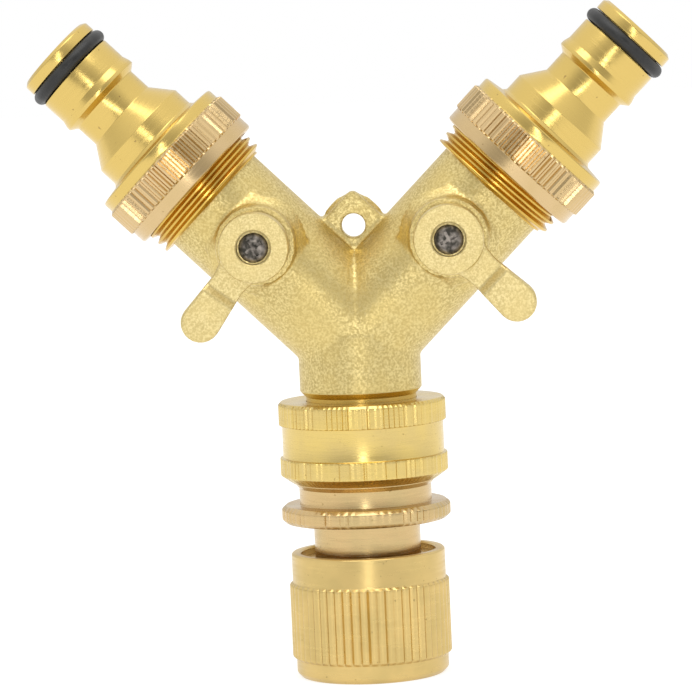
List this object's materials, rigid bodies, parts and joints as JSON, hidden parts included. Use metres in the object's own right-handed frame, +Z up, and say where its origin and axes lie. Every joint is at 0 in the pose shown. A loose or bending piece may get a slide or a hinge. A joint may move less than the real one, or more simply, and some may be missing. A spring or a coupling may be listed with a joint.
{
  "type": "hose splitter",
  "caption": "Brass Y-shaped hose splitter with a shut-off lever on each arm, push-fit outlet nipples, a swivel inlet and a quick connector with a sliding collar.",
  "frame": {"origin": "centre of the quick connector's mouth, on the plane that it stands on", "axes": "+Z up through the inlet between the two arms, levers towards -Y, arms in the XZ plane"},
  "size_m": [0.121, 0.038, 0.1258],
  "materials": {
    "cast_brass": "sandblasted casting",
    "machined_brass": "turned and knurled, satin",
    "pink_brass": "turned, polished, slightly reddish",
    "sleeve_brass": "fluted, satin",
    "adaptor_brass": "turned, bright",
    "spring_steel": "drawn wire",
    "stainless_mesh": "perforated disc",
    "ball_steel": "ground ball",
    "ball_chrome": "plated and polished",
    "screw_steel": "dark zinc",
    "white_seat": "low-friction plastic",
    "black_rubber": "moulded"
  },
  "bodies": {
    "splitter": {"y_body": "cast_brass", "nut_retaining_ring": "spring_steel", "left_inner_seat": "white_seat", "left_outer_seat": "white_seat", "left_seat_retainer": "machined_brass", "left_tap_adaptor": "adaptor_brass", "left_adaptor_washer": "black_rubber", "left_nipple_o_ring": "black_rubber", "right_inner_seat": "white_seat", "right_outer_seat": "white_seat", "right_seat_retainer": "machined_brass", "right_tap_adaptor": "adaptor_brass", "right_adaptor_washer": "black_rubber", "right_nipple_o_ring": "black_rubber"},
    "left_valve": {"left_handle": "cast_brass", "left_handle_screw": "screw_steel", "left_valve_stem": "machined_brass", "left_stem_seals": "black_rubber", "left_valve_ball": "ball_chrome"},
    "right_valve": {"right_handle": "cast_brass", "right_handle_screw": "screw_steel", "right_valve_stem": "machined_brass", "right_stem_seals": "black_rubber", "right_valve_ball": "ball_chrome"},
    "inlet": {"swivel_nut": "machined_brass", "inlet_washer": "black_rubber", "filter_screen": "stainless_mesh", "connector_body": "pink_brass", "sleeve_snap_ring": "spring_steel", "sleeve_spring": "spring_steel"},
    "collar": {"connector_sleeve": "sleeve_brass"},
    "lock_1": {"locking_ball_1": "ball_steel"},
    "lock_2": {"locking_ball_2": "ball_steel"},
    "lock_3": {"locking_ball_3": "ball_steel"},
    "lock_4": {"locking_ball_4": "ball_steel"}
  },
  "joints": [
    {"name": "left_handle_turn", "type": "hinge", "parent": "splitter", "child": "left_valve", "pos_m": [-0.01803, 0, 0.08333], "axis": [0, -1, 0], "range_deg": [-7.3, 82.7]},
    {"name": "right_handle_turn", "type": "hinge", "parent": "splitter", "child": "right_valve", "pos_m": [0.01803, 0, 0.08333], "axis": [0, 1, 0], "range_deg": [0, 90]},
    {"name": "inlet_swivel", "type": "hinge", "parent": "splitter", "child": "inlet", "pos_m": [0, 0, 0.045], "axis": [0, 0, 1], "continuous": true},
    {"name": "sleeve_slide", "type": "slide", "parent": "inlet", "child": "collar", "axis": [0, 0, 1], "range_m": [0, 0.0045], "stiffness_N_per_m": 1500, "springref_m": -0.01, "deforming": ["sleeve_spring"]},
    {"name": "lock_1_slide", "type": "slide", "parent": "inlet", "child": "lock_1", "axis": [0.7071, 0.7071, 0], "range_m": [0, 0.0011]},
    {"name": "lock_2_slide", "type": "slide", "parent": "inlet", "child": "lock_2", "axis": [-0.7071, 0.7071, 0], "range_m": [0, 0.0011]},
    {"name": "lock_3_slide", "type": "slide", "parent": "inlet", "child": "lock_3", "axis": [-0.7071, -0.7071, 0], "range_m": [0, 0.0011]},
    {"name": "lock_4_slide", "type": "slide", "parent": "inlet", "child": "lock_4", "axis": [0.7071, -0.7071, 0], "range_m": [0, 0.0011]}
  ],
  "couplings": [
    {"joint": "lock_1_slide", "follows": "sleeve_slide", "ratio": 0.24444},
    {"joint": "lock_2_slide", "follows": "sleeve_slide", "ratio": 0.24444},
    {"joint": "lock_3_slide", "follows": "sleeve_slide", "ratio": 0.24444},
    {"joint": "lock_4_slide", "follows": "sleeve_slide", "ratio": 0.24444}
  ]
}
